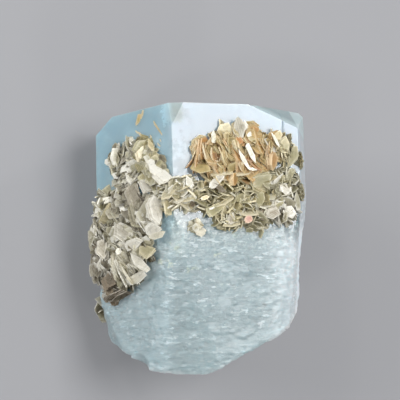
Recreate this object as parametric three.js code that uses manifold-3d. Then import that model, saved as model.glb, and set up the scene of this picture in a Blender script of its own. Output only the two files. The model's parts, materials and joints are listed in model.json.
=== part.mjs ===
// A stubby six-sided aquamarine crystal with a flat tip and a broken base, and the muscovite
// mica that grew over and into it. It lies on its back prism face.
// Millimetres. +Y runs along the crystal to its flat tip, +Z is up, and the origin is on the
// rest face, below the middle of the crystal.
import * as THREE from "three";
import { mergeVertices } from "three/addons/utils/BufferGeometryUtils.js";
import Module from "manifold-3d";

const wasm = await Module();
wasm.setup();

// Driving dimensions of the crystal
const THICKNESS = 54; // from the rest face to the front face
const NEAR_EDGE_X = -13; // the edge between the upper left face and the front face
const FRONT_WIDTH = 41.3;
const LEFT_WIDTH = 36.5;
const RIGHT_WIDTH = 10.8;
const PRISM_TURN = 60; // degrees from one face's normal to the next
const TIP_Y = 41.5;
const BASE_Y = -42.5;
const GAP = 0.35; // clearance between the mica and the crystal around it
const SHORTEST_EDGE = 0.02; // finer slivers left by the cuts are merged away

// Driving dimensions of the etched and broken lower half
const ETCH_START_Y = 6; // below this the faces are etched
const ETCH_FADE = 9; // over this length the etching comes in
const ETCH_DEPTH = 1.5;
const ETCH_SPARE = 0.25; // ledges shallower than this keep the flat they are cut into
const LEDGE_PITCH = 5.2;
const ETCH_COLUMNS = 24;
const ETCH_ROWS = 27;
const GLASSY_POLAR = 75; // degrees from the tip, about the middle, that hold no etching
const TIP_ROWS = 0.14; // the share of the rows spent on them
const OUTSIDE = 3; // the etched skin clears the glassy faces by this much

const rad = THREE.MathUtils.degToRad;
const vec = (x, y, z) => new THREE.Vector3(x, y, z);

// Repeatable noise from 0 to 1 for item n
const scatter = (n) => {
  const wide = Math.sin(n * 12.9898 + 4.1414) * 43758.5453;
  return wide - Math.floor(wide);
};

// Manifold solids from three.js geometry, and back
function solid(geometry) {
  const bare = geometry.clone();
  bare.deleteAttribute("normal");
  bare.deleteAttribute("uv");
  const merged = mergeVertices(bare, 1e-4);
  return new wasm.Manifold(
    new wasm.Mesh({
      numProp: 3,
      vertProperties: merged.attributes.position.array,
      triVerts: new Uint32Array(merged.index.array),
    }),
  );
}

function geometryOf(body) {
  const mesh = body.getMesh();
  const geometry = new THREE.BufferGeometry();
  geometry.setAttribute("position", new THREE.BufferAttribute(mesh.vertProperties, 3));
  geometry.setIndex(new THREE.BufferAttribute(mesh.triVerts, 1));
  geometry.computeVertexNormals();
  return geometry;
}

const join = (bodies) => bodies.reduce((all, body) => all.add(body));
const largest = (body) =>
  body.decompose().reduce((best, piece) => (piece.volume() > best.volume() ? piece : best));

// Frames on the prism faces: a point at distance s from the face's first edge, at height y
const turned = (degrees) => vec(Math.sin(rad(degrees)), 0, Math.cos(rad(degrees)));
const face = (origin, outTurn, alongTurn) => ({
  origin,
  out: turned(outTurn),
  along: turned(alongTurn),
  hand: Math.sign(Math.sin(rad(alongTurn - outTurn))), // -1 where its frame is mirrored
});
const onFace = (f, s, y, out = 0) =>
  f.origin.clone().addScaledVector(f.along, s).addScaledVector(f.out, out).setY(y);

const nearEdge = vec(NEAR_EDGE_X, 0, THICKNESS);
const rightEdge = vec(NEAR_EDGE_X + FRONT_WIDTH, 0, THICKNESS);
const FRONT = face(nearEdge, 0, 90);
const LEFT = face(nearEdge, -PRISM_TURN, -PRISM_TURN - 90);
const RIGHT = face(rightEdge, PRISM_TURN, PRISM_TURN + 90);
const leftCorner = onFace(LEFT, LEFT_WIDTH, 0);
const rightCorner = onFace(RIGHT, RIGHT_WIDTH, 0);
const LEFT_UNDER = face(leftCorner, -2 * PRISM_TURN, -2 * PRISM_TURN - 90);
const RIGHT_UNDER = face(rightCorner, 2 * PRISM_TURN, 2 * PRISM_TURN + 90);

// Each flat of the crystal is a plane: an outward normal and a point on it
const plane = (normal, point) => ({ normal: normal.clone().normalize(), point });
const planeThrough = (a, b, c, inside) => {
  const normal = b.clone().sub(a).cross(c.clone().sub(a)).normalize();
  const outward = normal.dot(inside.clone().sub(a)) > 0 ? -1 : 1;
  return plane(normal.multiplyScalar(outward), a);
};
const HEART = vec(0, 0, THICKNESS / 2);

const PRISM = [FRONT, LEFT, RIGHT, LEFT_UNDER, RIGHT_UNDER].map((f) => plane(f.out, f.origin));
const REST = plane(vec(0, 0, -1), vec(0, 0, 0));
const TIP = plane(vec(0, 1, 0), vec(0, TIP_Y, 0));

const through = (a, b, c) => planeThrough(a, b, c, HEART);
const TIP_FACETS = [
  // the long facet across the front right corner
  through(onFace(FRONT, 24.8, TIP_Y), onFace(FRONT, FRONT_WIDTH, 34.4), onFace(RIGHT, RIGHT_WIDTH, 39.8)),
  // the facet across the left corner
  through(onFace(LEFT, 28, TIP_Y), onFace(LEFT, LEFT_WIDTH, 36.4), onFace(LEFT_UNDER, 9, TIP_Y)),
  // the chipped top of the near edge
  through(onFace(FRONT, 3.8, TIP_Y), onFace(FRONT, 0, 34.3), onFace(LEFT, 1.6, TIP_Y)),
  // small facets on the far corners
  through(onFace(LEFT_UNDER, 17, TIP_Y), onFace(LEFT_UNDER, 25, 37), vec(-5, TIP_Y, 0)),
  through(onFace(RIGHT_UNDER, 38, TIP_Y), onFace(RIGHT_UNDER, 50, 35.5), vec(-6, TIP_Y, 0)),
];

const BREAKS = [
  plane(vec(0.03, -0.96, -0.28), vec(-9, BASE_Y, 49)), // the lowest part of the base
  plane(vec(0.434, -0.888, -0.155), vec(21.1, -30.2, 51)), // the base's right side
  plane(vec(-0.6, -0.78, -0.1), vec(-26, -34.2, 31)), // the base's left side
  plane(vec(-0.95, -0.3, 0), vec(-33, -11.2, 24)), // the taper of the left corner
  plane(vec(0.86, -0.12, 0.5), vec(28, 11, THICKNESS)), // the lower part of the right face
  plane(vec(0.08, -0.72, -0.68), vec(5, -26, 0)), // the base's back
  plane(vec(-0.5, -0.114, 0.857), vec(NEAR_EDGE_X, 7, THICKNESS)), // the worn near edge
];
const ALL_PLANES = [...PRISM, REST, TIP, ...TIP_FACETS, ...BREAKS];

// The crystal's flats alone, grown outwards by a margin everywhere but at the rest face
const BIG = 220;
function flats(margin) {
  let body = solid(new THREE.BoxGeometry(BIG, BIG, BIG));
  for (const p of ALL_PLANES) {
    const away = new THREE.BoxGeometry(2 * BIG, 2 * BIG, BIG);
    away.translate(0, 0, BIG / 2 + (p === REST ? 0 : margin));
    away.applyQuaternion(new THREE.Quaternion().setFromUnitVectors(vec(0, 0, 1), p.normal));
    away.translate(p.point.x, p.point.y, p.point.z);
    body = body.subtract(solid(away));
  }
  return body;
}

// How far the etching has come in at a point: 0 on the glassy faces, 1 on the etched ones
function etchedAt(p) {
  const start = ETCH_START_Y + 3 * Math.sin(0.11 * p.x + 0.9) + 0.12 * (THICKNESS - p.z);
  return THREE.MathUtils.smoothstep(start - p.y, 0, ETCH_FADE);
}

// Wandering ledges across the crystal: 0 on a ledge, 1 at the foot of its step
function ledgeAt(p) {
  const wander =
    1.5 * Math.sin(0.15 * p.x + 0.11 * p.z + 0.5) +
    1.1 * Math.sin(0.34 * p.x - 0.23 * p.z + 0.13 * p.y) +
    0.5 * Math.sin(0.83 * p.x + 0.37 * p.y + 1.7);
  const phase = p.y / LEDGE_PITCH + wander / (2 * Math.PI);
  return Math.pow(phase - Math.floor(phase), 1.6);
}

// The broken base has low dimples in place of ledges
const dimpleAt = (p) =>
  0.5 + 0.25 * Math.sin(0.42 * p.x + 0.21 * p.z) + 0.25 * Math.sin(0.5 * p.z - 0.31 * p.x + 1);

// The prism's edges, in turn around the crystal, as angles about its middle
const leftFoot = onFace(LEFT_UNDER, leftCorner.z / -LEFT_UNDER.along.z, 0);
const rightFoot = onFace(RIGHT_UNDER, rightCorner.z / -RIGHT_UNDER.along.z, 0);
const EDGE_TURNS = [leftCorner, nearEdge, rightEdge, rightCorner, rightFoot, leftFoot, leftCorner]
  .map((edge) => Math.atan2(edge.z - HEART.z, edge.x))
  .map((turn, i) => (i === 0 ? turn + 2 * Math.PI : turn));

// The direction from the crystal's middle at share u around and v down. Columns meet the edges,
// and most rows are in the etched half.
function rayAt(u, v) {
  const place = u * (EDGE_TURNS.length - 1);
  const side = Math.min(Math.floor(place), EDGE_TURNS.length - 2);
  const turn = THREE.MathUtils.lerp(EDGE_TURNS[side], EDGE_TURNS[side + 1], place - side);
  const below = Math.max(0, v - TIP_ROWS) / (1 - TIP_ROWS);
  const above = Math.min(v, TIP_ROWS) / TIP_ROWS;
  const polar = rad(above * GLASSY_POLAR + below * (180 - GLASSY_POLAR));
  return vec(Math.cos(turn) * Math.sin(polar), Math.cos(polar), Math.sin(turn) * Math.sin(polar));
}

// The etched skin: a ball pushed out to the flats, and in again by the ledges where it is etched
function etchedSkin() {
  const ball = new THREE.SphereGeometry(1, ETCH_COLUMNS, ETCH_ROWS);
  const at = ball.attributes.position;
  for (let i = 0; i < at.count; i++) {
    const ray = rayAt(ball.attributes.uv.getX(i) % 1, 1 - ball.attributes.uv.getY(i));
    let reach = Infinity;
    let skin = REST;
    for (const p of ALL_PLANES) {
      const facing = p.normal.dot(ray);
      const distance = p.normal.dot(p.point.clone().sub(HEART)) / facing;
      if (facing < 1e-6 || distance > reach) continue;
      reach = distance;
      skin = p;
    }
    const point = HEART.clone().addScaledVector(ray, reach);
    const etched = skin === REST ? 0 : etchedAt(point);
    const base = THREE.MathUtils.smoothstep(-skin.normal.y, 0.5, 0.8);
    const relief = THREE.MathUtils.lerp(ledgeAt(point), dimpleAt(point), base);
    const depth = etched * (ETCH_DEPTH * relief - ETCH_SPARE);
    const proud = (1 - etched) * (OUTSIDE + 0.5 * Math.max(0, point.y - ETCH_START_Y));
    point.addScaledVector(ray, proud - depth);
    at.setXYZ(i, point.x, point.y, point.z);
  }
  return solid(ball);
}

// Shallow shell-shaped chips: a ball that bites into the crystal
const CHIPS = [
  { at: vec(-25.5, -39.5, 41), r: 6.3, detail: 2 },
  { at: vec(70.2, -9, 43), r: 40, detail: 4 },
  { at: vec(9, -48, 26), r: 14, detail: 3 },
  { at: vec(-11, -46.5, 14), r: 13, detail: 3 },
  { at: vec(18, -31, 14), r: 9, detail: 2 },
  { at: vec(-28, -16, 2), r: 9, detail: 2 },
];
const chip = ({ at, r, detail }, i) => {
  const ball = new THREE.IcosahedronGeometry(r, detail);
  ball.rotateX(i);
  ball.translate(at.x, at.y, at.z);
  return solid(ball);
};

// Mica grows in sprays. Each sits on a face at distance s from its first edge and at height y.
// reach is the spray's radius, rise how far it stands out, leaf the size of one book, and lie
// the way its books face: along the face, up it, and outwards. fan spreads them.
const SPRAYS = [
  // the upper left lobe, large bright books
  { on: LEFT, s: 25, y: 28, reach: 4.5, rise: 2.6, books: 2, leaf: 3.8, lie: [0.5, 0.1, 0.9], fan: 0.5 },
  { on: LEFT, s: 18, y: 30.5, reach: 4.5, rise: 2.8, books: 2, leaf: 3.8, lie: [0.5, -0.5, 0.6], fan: 0.6 },
  { on: LEFT, s: 12.4, y: 28, reach: 4.5, rise: 3, books: 2, leaf: 4.2, lie: [-0.3, 0.2, 0.9], fan: 0.5 },
  { on: LEFT, s: 7.5, y: 20.5, reach: 5, rise: 3, books: 2, leaf: 4.6, lie: [-0.5, 0.1, 0.9], fan: 0.4 },
  { on: LEFT, s: 19.6, y: 21, reach: 5.5, rise: 3, books: 2, leaf: 4.6, lie: [0.1, 0.5, 0.8], fan: 0.5 },
  // the middle of the left lobe
  { on: LEFT, s: 31, y: 12, reach: 6, rise: 2.4, books: 3, leaf: 3.6, lie: [0.5, 0.4, 0.6], fan: 1 },
  { on: LEFT, s: 22, y: 11, reach: 6, rise: 3.4, books: 2, leaf: 4, lie: [-0.6, 0.3, 0.5], fan: 0.7 },
  { on: LEFT, s: 11.5, y: 7.5, reach: 5.5, rise: 4, books: 2, leaf: 4.8, lie: [-0.7, 0.1, 0.7], fan: 0.4 },
  // the lower left lobe, overlapping scales that hang over the corner
  { on: LEFT, s: 33, y: 2, reach: 6.5, rise: 2.4, books: 3, leaf: 4, lie: [0.4, -0.4, 0.8], fan: 0.7 },
  { on: LEFT, s: 24, y: 1, reach: 6.5, rise: 3.8, books: 3, leaf: 4.4, lie: [0.1, -0.3, 0.9], fan: 0.5 },
  { on: LEFT, s: 15, y: -2, reach: 5.5, rise: 2.8, books: 2, leaf: 4, lie: [-0.3, -0.4, 0.8], fan: 0.6 },
  { on: LEFT, s: 22, y: -9, reach: 6.5, rise: 3.2, books: 3, leaf: 4.6, lie: [0.2, -0.5, 0.8], fan: 0.4 },
  { on: LEFT, s: 32, y: -8, reach: 6, rise: 2.8, books: 2, leaf: 4, lie: [0.3, -0.2, 0.9], fan: 0.6 },
  { on: LEFT, s: 29, y: -14.5, reach: 4.5, rise: 1.8, books: 2, leaf: 3, lie: [0.1, -0.6, 0.7], fan: 0.8 },
  { on: LEFT_UNDER, s: 4, y: 6, reach: 5, rise: 2, books: 2, leaf: 3.4, lie: [0.3, 0.1, 0.9], fan: 0.7 },
  { on: LEFT_UNDER, s: 4, y: -7, reach: 5, rise: 2, books: 2, leaf: 3.4, lie: [0.2, -0.4, 0.9], fan: 0.7 },
  // the bridge over the near edge
  { on: LEFT, s: 3, y: 13, reach: 5.5, rise: 2.4, books: 2, leaf: 3.6, lie: [0.3, 0.9, 0.3], fan: 0.9 },
  { on: FRONT, s: 4.5, y: 13, reach: 5.5, rise: 2.2, books: 2, leaf: 3.4, lie: [-0.3, 0.9, 0.3], fan: 0.9 },
  // the upper right lobe, golden sheaves on edge
  { on: FRONT, s: 10, y: 25, reach: 5.5, rise: 3, books: 3, leaf: 4, lie: [0.95, 0.1, 0.3], fan: 0.35 },
  { on: FRONT, s: 17, y: 28, reach: 5.5, rise: 3.6, books: 4, leaf: 4.2, lie: [0.85, 0.5, 0.3], fan: 0.35 },
  { on: FRONT, s: 24, y: 30.5, reach: 5.5, rise: 3.8, books: 4, leaf: 4.6, lie: [0.8, 0.4, 0.4], fan: 0.4 },
  { on: FRONT, s: 30, y: 28, reach: 5.5, rise: 3.2, books: 3, leaf: 4.2, lie: [0.8, 0.4, 0.3], fan: 0.4 },
  { on: FRONT, s: 23, y: 22, reach: 5.5, rise: 3.2, books: 3, leaf: 4.2, lie: [0.8, 0.5, 0.35], fan: 0.3 },
  { on: FRONT, s: 14, y: 20, reach: 5.5, rise: 2.8, books: 3, leaf: 4, lie: [0.4, 0.8, 0.3], fan: 0.5 },
  { on: FRONT, s: 36.5, y: 27, reach: 5, rise: 2.6, books: 3, leaf: 3.8, lie: [0.8, 0.4, 0.4], fan: 0.7 },
  { on: RIGHT, s: 4, y: 24, reach: 5, rise: 1.6, books: 2, leaf: 3, lie: [0.7, 0.3, 0.6], fan: 0.7 },
  // the lower right lobe, greenish books at all angles
  { on: FRONT, s: 12, y: 12, reach: 5.5, rise: 2.4, books: 3, leaf: 3.4, lie: [0.2, 0.9, 0.4], fan: 1 },
  { on: FRONT, s: 21, y: 13, reach: 6, rise: 2.6, books: 2, leaf: 3.6, lie: [0.3, 0.7, 0.6], fan: 1 },
  { on: FRONT, s: 30, y: 15, reach: 6, rise: 2.6, books: 2, leaf: 3.8, lie: [-0.1, 0.4, 0.9], fan: 0.7 },
  { on: FRONT, s: 17, y: 6.5, reach: 5, rise: 2.2, books: 3, leaf: 3.2, lie: [0.2, 0.6, 0.7], fan: 1 },
  { on: FRONT, s: 26, y: 7, reach: 5.5, rise: 2.4, books: 3, leaf: 3.4, lie: [0.3, -0.5, 0.7], fan: 0.9 },
  { on: FRONT, s: 37, y: 17, reach: 5.5, rise: 2.4, books: 3, leaf: 3.6, lie: [0.4, 0.4, 0.7], fan: 0.9 },
  { on: FRONT, s: 34.5, y: 8.5, reach: 5, rise: 2.4, books: 3, leaf: 3.4, lie: [0.1, -0.4, 0.9], fan: 0.9 },
  { on: RIGHT, s: 4, y: 14, reach: 5, rise: 1.6, books: 2, leaf: 3, lie: [0.3, 0.2, 0.8], fan: 0.8 },
];
const TUFT = [
  { on: LEFT_UNDER, s: 9, y: -20, reach: 4.6, rise: 3, books: 5, leaf: 3, lie: [0.3, 0.3, 0.8], fan: 0.9 },
];
const FLAKE = [
  { on: FRONT, s: 6.6, y: 3.1, reach: 2.2, rise: 1.2, books: 4, leaf: 1.9, lie: [0.3, -0.6, 0.6], fan: 1 },
];

const BED_DEPTH = 4.5; // how far a spray's root reaches into the crystal
const BED_REACH = 1.18; // its radius, as a share of the spray's reach
const BED_RISE = 0.6; // how far it stands out, as a share of the spray's rise
const GOLDEN_ANGLE = 2.39996;
const LEAF_SHARE = 0.3; // a book's thickness as a share of its size

// The root of a spray, a rough lump half sunk into the face, grown by a margin
function bed(spray, i, margin) {
  const { on, s, y, reach, rise } = spray;
  const lump = new THREE.IcosahedronGeometry(1, 0);
  lump.rotateX(i * 1.3);
  const at = lump.attributes.position;
  const corner = vec(0, 0, 0);
  for (let v = 0; v < at.count; v++) {
    corner.fromBufferAttribute(at, v);
    const depth = corner.z > 0 ? BED_RISE * rise : Math.min(BED_DEPTH, 0.8 * reach);
    const place = onFace(
      on,
      s + on.hand * corner.x * (BED_REACH * reach + margin),
      y + corner.y * (BED_REACH * reach + margin),
      corner.z * (depth + margin),
    );
    at.setXYZ(v, place.x, place.y, place.z);
  }
  return lump;
}

// Book number k of a spray: a six-sided slab that stands in the bed
function book(spray, i, k) {
  const { on, s, y, reach, rise, books, leaf, lie, fan } = spray;
  const seed = 17 * i + 131 * k;
  const turn = k * GOLDEN_ANGLE + i;
  const spread = 0.8 * reach * Math.sqrt((k + 0.5) / books);
  const centre = onFace(on, s + spread * Math.cos(turn), y + spread * Math.sin(turn));
  const crown = rise * (1 - 0.45 * (spread / reach) ** 2);
  const size = leaf * (0.8 + 0.45 * scatter(seed));
  const normal = vec(0, 0, 0)
    .addScaledVector(on.along, lie[0] + fan * (scatter(seed + 1) - 0.5) * 2)
    .addScaledVector(vec(0, 1, 0), lie[1] + fan * (scatter(seed + 2) - 0.5) * 2)
    .addScaledVector(on.out, lie[2] + fan * (scatter(seed + 3) - 0.5))
    .normalize();
  const standing = Math.sqrt(1 - Math.min(1, normal.dot(on.out) ** 2));
  centre.addScaledVector(on.out, crown - 0.75 * size * standing);
  const slab = new THREE.CylinderGeometry(size, size, size * LEAF_SHARE, 6);
  slab.scale(1, 1, 0.75 + 0.3 * scatter(seed + 4));
  slab.rotateY(Math.PI * scatter(seed + 5));
  slab.applyQuaternion(new THREE.Quaternion().setFromUnitVectors(vec(0, 1, 0), normal));
  slab.translate(centre.x, centre.y, centre.z);
  return solid(slab);
}

const FIRST_SEED = { cluster: 0, tuft: 60, flake: 80 };
const sprayBeds = (sprays, first, margin) =>
  join(sprays.map((spray, n) => solid(bed(spray, first + n, margin))));
const sprayBooks = (sprays, first) =>
  join(
    sprays.flatMap((spray, n) =>
      Array.from({ length: spray.books }, (_, k) => book(spray, first + n, k)),
    ),
  );

// Mica: its books trimmed at the crystal's skin, and its root in a pocket of the crystal
const outerSkin = flats(GAP);
function mica(sprays, first) {
  const roots = sprayBeds(sprays, first, 0);
  return largest(sprayBooks(sprays, first).subtract(outerSkin).add(roots));
}

function aquamarine() {
  let body = flats(0).intersect(etchedSkin());
  CHIPS.forEach((c, i) => (body = body.subtract(chip(c, i))));
  const pockets = [
    [SPRAYS, FIRST_SEED.cluster],
    [TUFT, FIRST_SEED.tuft],
    [FLAKE, FIRST_SEED.flake],
  ];
  for (const [sprays, first] of pockets) body = body.subtract(sprayBeds(sprays, first, GAP));
  return largest(body);
}

const MATERIALS = {
  aquamarine: new THREE.MeshStandardMaterial({
    color: 0x9cc3cf,
    roughness: 0.15,
    metalness: 0,
    transparent: true,
    opacity: 0.6,
  }),
  muscovite: new THREE.MeshStandardMaterial({ color: 0xb3ab8c, roughness: 0.35, metalness: 0.2 }),
};

function piece(name, body, material) {
  const mesh = new THREE.Mesh(geometryOf(body.simplify(SHORTEST_EDGE)), material);
  mesh.name = name;
  return mesh;
}

const specimen = new THREE.Group();
specimen.name = "aquamarine_specimen";
specimen.add(
  piece("aquamarine_crystal", aquamarine(), MATERIALS.aquamarine),
  piece("muscovite_cluster", mica(SPRAYS, FIRST_SEED.cluster), MATERIALS.muscovite),
  piece("muscovite_tuft", mica(TUFT, FIRST_SEED.tuft), MATERIALS.muscovite),
  piece("muscovite_flake", mica(FLAKE, FIRST_SEED.flake), MATERIALS.muscovite),
);

export default specimen;
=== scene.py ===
# %% [markdown]
# # An aquamarine crystal with muscovite
# The crystal is a stubby six-sided prism of pale blue-green beryl. Its tip is flat and glassy, and
# its lower half is etched and broken. Muscovite mica grew over it and into it, in books of thin
# leaves. The specimen lies on its back prism face, and the camera looks down on it.
#
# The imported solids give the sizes. This script builds the finer surface on the same planes and in
# the same places.

# %% Load the frame
import json
import math

import bmesh
import bpy
from mathutils import Matrix, Vector, noise

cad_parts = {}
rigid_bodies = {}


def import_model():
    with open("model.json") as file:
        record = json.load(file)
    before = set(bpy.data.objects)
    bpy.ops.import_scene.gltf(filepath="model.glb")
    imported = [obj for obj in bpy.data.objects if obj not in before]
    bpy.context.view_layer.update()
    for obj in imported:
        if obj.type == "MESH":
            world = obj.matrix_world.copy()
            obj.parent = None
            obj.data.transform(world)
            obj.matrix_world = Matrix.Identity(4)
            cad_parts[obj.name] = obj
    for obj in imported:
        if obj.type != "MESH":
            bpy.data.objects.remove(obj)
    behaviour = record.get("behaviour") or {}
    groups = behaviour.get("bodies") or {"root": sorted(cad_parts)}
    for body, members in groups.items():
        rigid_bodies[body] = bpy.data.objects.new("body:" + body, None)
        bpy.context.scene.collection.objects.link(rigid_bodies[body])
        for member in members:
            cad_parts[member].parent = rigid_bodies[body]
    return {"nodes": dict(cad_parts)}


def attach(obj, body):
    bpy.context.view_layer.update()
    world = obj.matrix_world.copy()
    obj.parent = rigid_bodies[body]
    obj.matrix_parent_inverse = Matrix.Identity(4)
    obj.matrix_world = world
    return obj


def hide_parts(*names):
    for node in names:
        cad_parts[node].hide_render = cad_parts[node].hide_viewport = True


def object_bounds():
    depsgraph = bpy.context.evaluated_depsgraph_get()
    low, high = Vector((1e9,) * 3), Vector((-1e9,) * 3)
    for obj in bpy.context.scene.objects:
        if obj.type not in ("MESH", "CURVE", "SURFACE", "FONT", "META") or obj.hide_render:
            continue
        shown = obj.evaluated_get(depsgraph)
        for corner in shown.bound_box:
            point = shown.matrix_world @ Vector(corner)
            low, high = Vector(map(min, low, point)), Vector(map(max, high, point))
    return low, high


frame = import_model()
cad_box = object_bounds()
MM = 0.001
print("nodes:", sorted(frame["nodes"]))

# %% [markdown]
# ## Camera
# The specimen is seen from a third of a metre away, a little from its left. The camera's turn, tilt
# and roll were worked out from the corners of the prism. Rotation matrices in that order put them
# together, and a lens of 92 mm gives the same view.

# %% Camera
YAW = math.radians(15.4)
PITCH = math.radians(-7.0)
ROLL = math.radians(1.7)
DISTANCE = 340
AIM = Vector((5.0, 41.5, 34.0))
AIM_SHIFT = Vector((-3.25, -27.6, 0))
LENS = 92.4

to_camera = (
    Matrix.Rotation(ROLL, 3, "Z") @ Matrix.Rotation(PITCH, 3, "X") @ Matrix.Rotation(YAW, 3, "Y")
)
turn = to_camera.transposed()
camera_at = turn @ (AIM_SHIFT + Vector((0, 0, DISTANCE))) + AIM

lens = bpy.data.cameras.new("camera")
lens.lens = LENS
lens.clip_start = 0.01
lens.clip_end = 20
camera = bpy.data.objects.new("camera", lens)
camera.matrix_world = Matrix.Translation(camera_at * MM) @ turn.to_4x4()
bpy.context.collection.objects.link(camera)
bpy.context.scene.camera = camera
print("camera at", [round(c) for c in camera_at], "mm")

# %% [markdown]
# ## Shader formulas
# A material is a sum of patterns, so it reads best as a formula. `Value` wraps one socket, and an
# ordinary sum or product on it adds the Math node. `Finish` holds one material and has one method
# that adds any node.


# %% Shader formulas
class Value:
    """One number that changes over the surface."""

    def __init__(self, finish, socket):
        self.finish = finish
        self.socket = socket

    def math(self, operation, a, b):
        node = self.finish.node("ShaderNodeMath", {"operation": operation}, {0: a, 1: b})
        return Value(self.finish, node.outputs[0])

    def __add__(self, other):
        return self.math("ADD", self, other)

    def __radd__(self, other):
        return self.math("ADD", other, self)

    def __sub__(self, other):
        return self.math("SUBTRACT", self, other)

    def __rsub__(self, other):
        return self.math("SUBTRACT", other, self)

    def __mul__(self, other):
        return self.math("MULTIPLY", self, other)

    def __rmul__(self, other):
        return self.math("MULTIPLY", other, self)

    def __pow__(self, other):
        return self.math("POWER", self, other)


class Finish:
    """The nodes of one material, or of the sky."""

    def __init__(self, tree):
        self.tree = tree
        self.tree.nodes.clear()

    def node(self, kind, settings=None, sockets=None):
        """Adds a node: its settings first, then its sockets' values or links."""
        node = self.tree.nodes.new(kind)
        for name, value in (settings or {}).items():
            if name == "stops":
                self.fill_ramp(node.color_ramp, value)
            else:
                setattr(node, name, value)
        for name, value in (sockets or {}).items():
            if isinstance(value, Value):
                value = value.socket
            if isinstance(value, bpy.types.NodeSocket):
                self.tree.links.new(value, node.inputs[name])
            else:
                node.inputs[name].default_value = value
        return node

    def fill_ramp(self, ramp, stops):
        while len(ramp.elements) < len(stops):
            ramp.elements.new(1.0)
        for element, (place, colour) in zip(ramp.elements, stops):
            element.position = place
            element.color = (*colour, 1.0)

    def value(self, kind, settings=None, sockets=None, output=0):
        return Value(self, self.node(kind, settings, sockets).outputs[output])

    def places(self):
        """The point on the piece, in millimetres."""
        at = self.node("ShaderNodeTexCoord").outputs["Object"]
        scale = self.node("ShaderNodeVectorMath", {"operation": "SCALE"}, {0: at, "Scale": 1 / MM})
        return scale.outputs[0]

    def stretched(self, place, scale):
        return self.node("ShaderNodeVectorMath", {"operation": "MULTIPLY"}, {0: place, 1: scale}).outputs[0]

    def grain(self, place, scale, detail=3.0, roughness=0.5):
        sockets = {"Vector": place, "Scale": scale, "Detail": detail, "Roughness": roughness}
        return self.value("ShaderNodeTexNoise", None, sockets)

    def step(self, value, low, high):
        """0 below low, 1 above high, and smooth between."""
        sockets = {"Value": value, "From Min": low, "From Max": high}
        return self.value("ShaderNodeMapRange", {"interpolation_type": "SMOOTHSTEP"}, sockets)

    def blend(self, amount, first, second):
        """A colour between two colours."""
        settings = {"data_type": "RGBA", "clamp_factor": True}
        return self.node("ShaderNodeMix", settings, {0: amount, 6: first, 7: second}).outputs[2]

    def show(self, surface, volume=None):
        sockets = {"Surface": surface}
        if volume:
            sockets["Volume"] = volume
        self.node("ShaderNodeOutputMaterial", None, sockets)


def new_material(name):
    material = bpy.data.materials.new(name)
    material.use_nodes = True
    return material, Finish(material.node_tree)


print("formulas ready")

# %% [markdown]
# ## Floor and light
# A plain pale floor lies just under the rest face. The glassy front face mirrors one direction, so
# the main light is a broad window-like panel there. A fill panel on the left and a grey sky light
# the rest, and four small panels put glints on leaves that face other ways.


# %% Floor
def link(name, mesh, material):
    piece = bpy.data.objects.new(name, mesh)
    mesh.materials.append(material)
    bpy.context.collection.objects.link(piece)
    return piece


FLOOR_DROP = -0.2
FLOOR_REACH = 1500
FLOOR_GREY = 0.29

floor_bm = bmesh.new()
bmesh.ops.create_grid(floor_bm, x_segments=1, y_segments=1, size=FLOOR_REACH * MM)
bmesh.ops.translate(floor_bm, vec=(0, 0, FLOOR_DROP * MM), verts=floor_bm.verts)
floor_mesh = bpy.data.meshes.new("floor")
floor_bm.to_mesh(floor_mesh)
floor_bm.free()
pale_floor, pale = new_material("pale floor")
pale_shader = pale.node(
    "ShaderNodeBsdfPrincipled",
    None,
    {"Base Color": (FLOOR_GREY, FLOOR_GREY * 0.985, FLOOR_GREY * 1.005, 1), "Roughness": 0.8},
)
pale.show(pale_shader.outputs[0])
floor = link("floor", floor_mesh, pale_floor)
print("floor", FLOOR_REACH * 2, "mm wide")

# %% Light
SKY = (0.90, 0.94, 1.0, 1)
SKY_STRENGTH = 0.55
SHADED_STRENGTH = 0.12
MIRRORED = Vector((0.277, 0.081, 0.957))
FRONT_MIDDLE = Vector((8, 20, 54))


def panel(name, toward, distance, width, height, power, colour, aim=FRONT_MIDDLE):
    lamp = bpy.data.lights.new(name, "AREA")
    lamp.shape = "RECTANGLE"
    lamp.size = width * MM
    lamp.size_y = height * MM
    lamp.energy = power
    lamp.color = colour
    at = aim + toward.normalized() * distance
    light = bpy.data.objects.new(name, lamp)
    facing = (aim - at).to_track_quat("-Z", "Y")
    light.matrix_world = Matrix.Translation(at * MM) @ facing.to_matrix().to_4x4()
    bpy.context.collection.objects.link(light)
    return light


sky = bpy.data.worlds.new("sky")
sky.use_nodes = True
air = Finish(sky.node_tree)
view = air.node("ShaderNodeTexCoord").outputs["Generated"]
toward_viewer = camera_at.normalized()
facing = air.value("ShaderNodeVectorMath", {"operation": "DOT_PRODUCT"}, {0: view, 1: toward_viewer}, 1)
strength = SKY_STRENGTH + air.step(facing, 0.80, 0.97) * (SHADED_STRENGTH - SKY_STRENGTH)
background = air.node("ShaderNodeBackground", None, {"Color": SKY, "Strength": strength})
air.node("ShaderNodeOutputWorld", None, {"Surface": background.outputs[0]})
bpy.context.scene.world = sky
bpy.context.scene.view_settings.view_transform = "Standard"
panel("window", MIRRORED, 700, 290, 290, 3.6, (0.97, 0.985, 1.0))
panel("left fill", Vector((-1.0, 0.4, 0.5)), 900, 500, 500, 5.0, (0.97, 0.99, 1.0))
GLINTS = [(-0.55, 0.75, 0.8), (0.75, 0.45, 0.6), (0.35, -0.9, 0.7), (-0.7, -0.5, 0.9)]
for n, toward in enumerate(GLINTS):
    panel(f"glint {n}", Vector(toward), 800, 90, 90, 0.6, (1.0, 1.0, 1.0))

# %% [markdown]
# ## The faces of the prism
# Mica and facets are placed on a face: `s` runs across it from its first edge, and `y` runs along
# the crystal. A face turned by 60 degrees from the next gives the six sides.

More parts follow.
